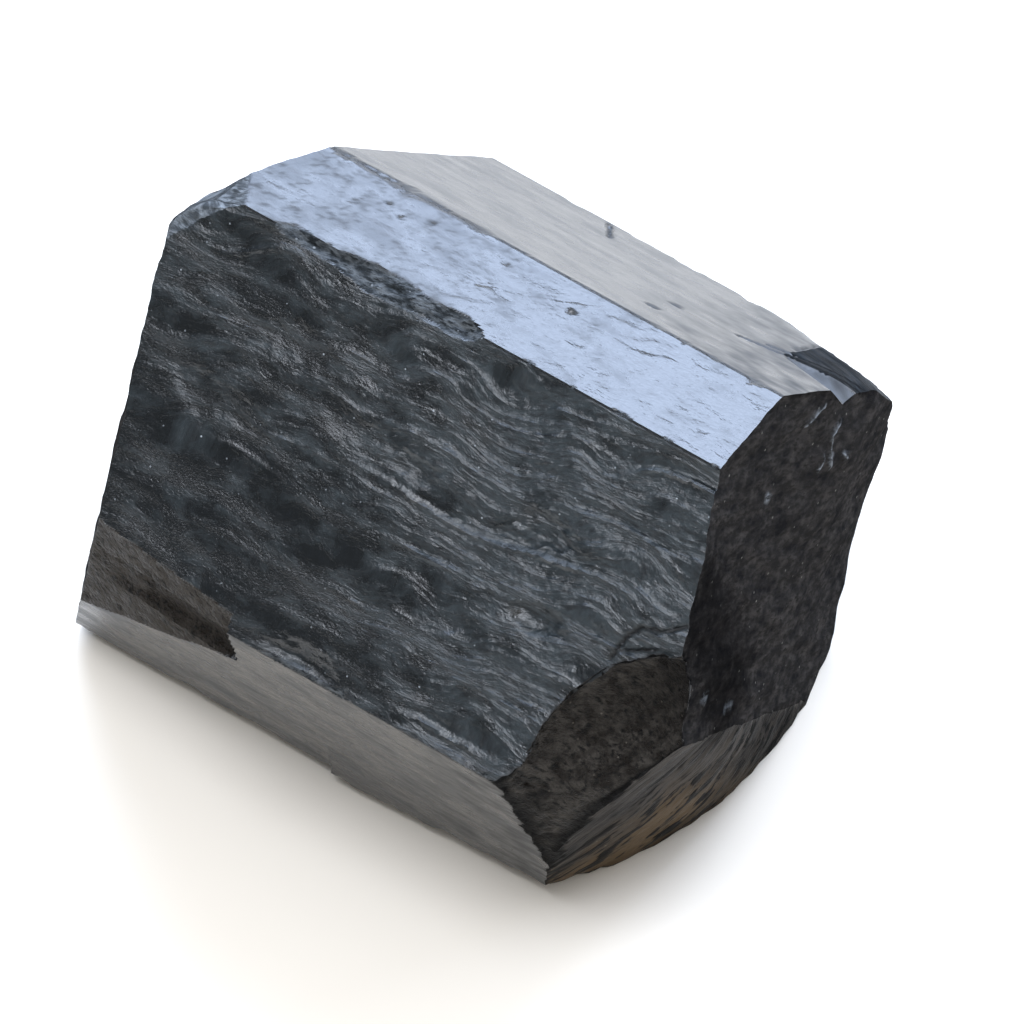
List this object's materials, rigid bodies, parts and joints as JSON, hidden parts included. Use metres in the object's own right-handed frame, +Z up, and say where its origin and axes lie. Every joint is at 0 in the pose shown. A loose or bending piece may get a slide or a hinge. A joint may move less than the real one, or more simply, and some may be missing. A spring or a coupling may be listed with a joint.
{
  "type": "tourmaline crystal",
  "caption": "Stubby black tourmaline crystal with striated prism faces, broken across at both ends and lying on one side face.",
  "frame": {"origin": "middle of the footprint, at the height of the face that the crystal rests on", "axes": "+X along the crystal's long axis, +Z up out of the rest face, +Y towards the back, away from the broad ledged face"},
  "size_m": [0.0548, 0.0498, 0.0428],
  "materials": {
    "tourmaline": "opaque black mineral with a glassy to silky lustre, striated along its length, dull and a little iron-stained where it is broken"
  },
  "bodies": {
    "root": {"tourmaline_crystal": "tourmaline"}
  },
  "joints": []
}
